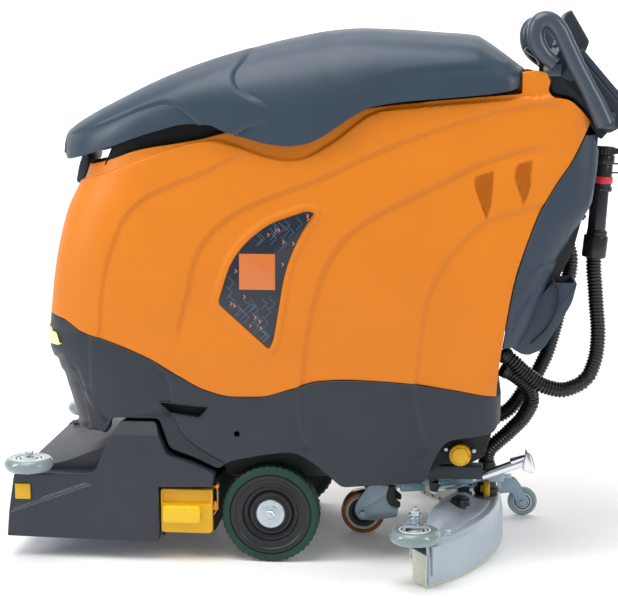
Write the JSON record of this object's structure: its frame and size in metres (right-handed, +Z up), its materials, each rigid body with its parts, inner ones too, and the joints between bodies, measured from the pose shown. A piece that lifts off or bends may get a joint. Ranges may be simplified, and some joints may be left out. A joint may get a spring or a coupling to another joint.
{
  "type": "walk-behind floor scrubber dryer",
  "caption": "Walk-behind wet and dry floor scrubber with a hinged tank lid, roller brush deck, debris hopper, curved squeegee, driven wheels and loop handles.",
  "frame": {"origin": "on the floor, below the centre of the box round the machine without its free hoses", "axes": "+Z up; +Y towards the rear, where the operator walks; +X towards the side the debris hopper pulls out"},
  "size_m": [0.862, 1.246, 1.1151],
  "materials": {
    "tank_orange": "satin, fine orange peel",
    "base_slate": "satin, fine grain",
    "lid_slate": "satin",
    "label_film": "satin printed film",
    "lamp_lens": "gloss",
    "steel_grey": "satin",
    "zinc_steel": "zinc plated",
    "bright_steel": "polished",
    "battery_black": "matte",
    "black_plastic": "matte",
    "touch_yellow": "satin",
    "stop_red": "gloss",
    "green_tyre": "matte rubber",
    "amber_tyre": "translucent polyurethane",
    "grey_roller": "translucent polyurethane",
    "blade_rubber": "matte",
    "hose_black": "satin",
    "brush_bristle": "nylon bristle"
  },
  "bodies": {
    "chassis": {"chassis_frame": "steel_grey", "base_shell": "base_slate", "tank_shell": "tank_orange", "rear_panel": "base_slate", "side_label_left": "label_film", "side_label_right": "label_film", "headlamp_left": "lamp_lens", "headlamp_right": "lamp_lens", "battery_pack": "battery_black", "vacuum_motor": "zinc_steel", "filter_basket": "touch_yellow", "console_body": "base_slate", "loop_handle_left": "lid_slate", "loop_handle_right": "lid_slate", "display_panel": "base_slate", "drive_transaxle": "zinc_steel", "drain_tube": "black_plastic", "hose_drain": "hose_black", "hose_suction": "hose_black", "hose_upper": "hose_black"},
    "lid": {"lid_shell": "lid_slate"},
    "float": {"float_ball": "stop_red"},
    "stop_button": {"emergency_stop": "stop_red"},
    "key": {"key_switch": "black_plastic"},
    "dial": {"speed_dial": "black_plastic"},
    "mode": {"mode_button": "touch_yellow"},
    "lever_left": {"drive_lever_left": "black_plastic"},
    "lever_right": {"drive_lever_right": "black_plastic"},
    "drain_lid": {"drain_cap": "black_plastic"},
    "wheel_left": {"tyre_left": "green_tyre", "rim_left": "black_plastic"},
    "wheel_right": {"tyre_right": "green_tyre", "rim_right": "black_plastic"},
    "caster_swivel": {"caster_fork": "zinc_steel"},
    "caster_roller": {"caster_wheel": "amber_tyre"},
    "deck": {"deck_housing": "base_slate", "brush_motor": "zinc_steel"},
    "cover_left": {"deck_cover_left": "base_slate"},
    "cover_right": {"deck_cover_right": "base_slate"},
    "cover_button_left": {"deck_button_left": "touch_yellow"},
    "cover_button_right": {"deck_button_right": "touch_yellow"},
    "brush_a": {"brush_front": "brush_bristle"},
    "brush_b": {"brush_rear": "brush_bristle"},
    "hopper": {"debris_hopper": "touch_yellow"},
    "latch": {"hopper_latch": "touch_yellow"},
    "bumper_front_left": {"front_roller_left": "grey_roller"},
    "bumper_front_right": {"front_roller_right": "grey_roller"},
    "squeegee_carrier": {"squeegee_arm": "steel_grey"},
    "squeegee": {"squeegee_body": "steel_grey", "blade_front": "blade_rubber", "blade_rear": "blade_rubber", "suction_nozzle": "black_plastic"},
    "bumper_rear_left": {"squeegee_roller_left": "grey_roller"},
    "bumper_rear_right": {"squeegee_roller_right": "grey_roller"},
    "lever_lift": {"lift_lever": "bright_steel"},
    "knob_left": {"star_knob_left": "black_plastic"},
    "knob_right": {"star_knob_right": "black_plastic"},
    "tail_swivel": {"tail_fork": "zinc_steel"},
    "tail_roller": {"tail_wheel": "grey_roller"},
    "filter_knob": {"side_knob": "touch_yellow"}
  },
  "joints": [
    {"name": "lid_hinge", "type": "hinge", "parent": "chassis", "child": "lid", "pos_m": [0, -0.484, 0.817], "axis": [1, 0, 0], "range_deg": [0, 75]},
    {"name": "float_rise", "type": "slide", "parent": "chassis", "child": "float", "axis": [0, 0, 1], "range_m": [0, 0.04]},
    {"name": "stop_press", "type": "slide", "parent": "chassis", "child": "stop_button", "axis": [0, -0.7576, -0.6527], "range_m": [0, 0.004], "stiffness_N_per_m": 900, "springref_m": -0.001},
    {"name": "key_turn", "type": "hinge", "parent": "chassis", "child": "key", "pos_m": [-0.15, 0.567, 0.979], "axis": [0, 0.7576, 0.6527], "range_deg": [0, 90]},
    {"name": "dial_turn", "type": "hinge", "parent": "chassis", "child": "dial", "pos_m": [-0.07, 0.58268, 0.9608], "axis": [0, 0.7576, 0.6527], "range_deg": [-135, 135]},
    {"name": "mode_press", "type": "slide", "parent": "chassis", "child": "mode", "axis": [0, -0.7576, -0.6527], "range_m": [0, 0.003], "stiffness_N_per_m": 600, "springref_m": -0.001},
    {"name": "lever_left_press", "type": "hinge", "parent": "chassis", "child": "lever_left", "pos_m": [0, 0.467, 1.01], "axis": [1, 0, 0], "range_deg": [0, 15], "stiffness_Nm_per_rad": 1, "springref_deg": -8.59},
    {"name": "lever_right_press", "type": "hinge", "parent": "chassis", "child": "lever_right", "pos_m": [0, 0.467, 1.01], "axis": [1, 0, 0], "range_deg": [0, 15], "stiffness_Nm_per_rad": 1, "springref_deg": -8.59},
    {"name": "drain_cap_hinge", "type": "hinge", "parent": "chassis", "child": "drain_lid", "pos_m": [0.06, 0.618, 0.832], "axis": [-1, 0, 0], "range_deg": [0, 30]},
    {"name": "drive_left", "type": "hinge", "parent": "chassis", "child": "wheel_left", "pos_m": [0.216, -0.079, 0.1], "axis": [1, 0, 0], "continuous": true},
    {"name": "drive_right", "type": "hinge", "parent": "chassis", "child": "wheel_right", "pos_m": [-0.216, -0.079, 0.1], "axis": [1, 0, 0], "continuous": true},
    {"name": "caster_turn", "type": "hinge", "parent": "chassis", "child": "caster_swivel", "pos_m": [0, 0.165, 0.14], "axis": [0, 0, 1], "continuous": true},
    {"name": "caster_roll", "type": "hinge", "parent": "caster_swivel", "child": "caster_roller", "pos_m": [0, 0.097, 0.048], "axis": [1, 0, 0], "continuous": true},
    {"name": "deck_lower", "type": "slide", "parent": "chassis", "child": "deck", "axis": [0, 0, 1], "range_m": [-0.037, 0]},
    {"name": "cover_left_off", "type": "slide", "parent": "deck", "child": "cover_left", "axis": [1, 0, 0], "range_m": [0, 0.08]},
    {"name": "cover_right_off", "type": "slide", "parent": "deck", "child": "cover_right", "axis": [-1, 0, 0], "range_m": [0, 0.08]},
    {"name": "button_left_press", "type": "slide", "parent": "cover_left", "child": "cover_button_left", "axis": [-1, 0, 0], "range_m": [0, 0.003], "stiffness_N_per_m": 500, "springref_m": -0.001},
    {"name": "button_right_press", "type": "slide", "parent": "cover_right", "child": "cover_button_right", "axis": [1, 0, 0], "range_m": [0, 0.003], "stiffness_N_per_m": 500, "springref_m": -0.001},
    {"name": "brush_front_spin", "type": "hinge", "parent": "deck", "child": "brush_a", "pos_m": [0, -0.537, 0.092], "axis": [1, 0, 0], "continuous": true},
    {"name": "brush_rear_spin", "type": "hinge", "parent": "deck", "child": "brush_b", "pos_m": [0, -0.42, 0.092], "axis": [1, 0, 0], "continuous": true},
    {"name": "hopper_out", "type": "slide", "parent": "deck", "child": "hopper", "axis": [1, 0, 0], "range_m": [0, 0.4]},
    {"name": "latch_swing", "type": "hinge", "parent": "deck", "child": "latch", "pos_m": [0.239, -0.187, 0.158], "axis": [0, -1, 0], "range_deg": [0, 70]},
    {"name": "front_roller_left_spin", "type": "hinge", "parent": "deck", "child": "bumper_front_left", "pos_m": [0.275, -0.568, 0.205], "axis": [0, 0, 1], "continuous": true},
    {"name": "front_roller_right_spin", "type": "hinge", "parent": "deck", "child": "bumper_front_right", "pos_m": [-0.275, -0.568, 0.205], "axis": [0, 0, 1], "continuous": true},
    {"name": "squeegee_lift", "type": "hinge", "parent": "chassis", "child": "squeegee_carrier", "pos_m": [0, 0.183, 0.135], "axis": [1, 0, 0], "range_deg": [0, 10], "deforming": ["hose_suction"]},
    {"name": "squeegee_swing", "type": "hinge", "parent": "squeegee_carrier", "child": "squeegee", "pos_m": [0, 0.361, 0.112], "axis": [0, 0, 1], "range_deg": [-12, 12]},
    {"name": "rear_roller_left_spin", "type": "hinge", "parent": "squeegee", "child": "bumper_rear_left", "pos_m": [0.381, 0.219, 0.1065], "axis": [0, 0, 1], "continuous": true},
    {"name": "rear_roller_right_spin", "type": "hinge", "parent": "squeegee", "child": "bumper_rear_right", "pos_m": [-0.381, 0.219, 0.1065], "axis": [0, 0, 1], "continuous": true},
    {"name": "lift_lever_pull", "type": "hinge", "parent": "chassis", "child": "lever_lift", "pos_m": [0.093, 0.251, 0.124], "axis": [1, 0, 0], "range_deg": [0, 10]},
    {"name": "star_knob_left_turn", "type": "hinge", "parent": "squeegee", "child": "knob_left", "pos_m": [0.15, 0.307, 0.1], "axis": [0, 0, 1], "continuous": true},
    {"name": "star_knob_right_turn", "type": "hinge", "parent": "squeegee", "child": "knob_right", "pos_m": [-0.15, 0.307, 0.1], "axis": [0, 0, 1], "continuous": true},
    {"name": "tail_turn", "type": "hinge", "parent": "squeegee", "child": "tail_swivel", "pos_m": [-0.165, 0.41, 0.06], "axis": [0, 0, 1], "range_deg": [-60, 60]},
    {"name": "tail_roll", "type": "hinge", "parent": "tail_swivel", "child": "tail_roller", "pos_m": [-0.165, 0.445, 0.033], "axis": [1, 0, 0], "continuous": true},
    {"name": "filter_knob_turn", "type": "hinge", "parent": "chassis", "child": "filter_knob", "pos_m": [0.214, 0.304, 0.228], "axis": [1, 0, 0], "continuous": true}
  ],
  "couplings": [
    {"joint": "brush_rear_spin", "follows": "brush_front_spin", "ratio": -1},
    {"joint": "lever_right_press", "follows": "lever_left_press", "ratio": 1},
    {"joint": "lift_lever_pull", "follows": "squeegee_lift", "ratio": 1}
  ]
}
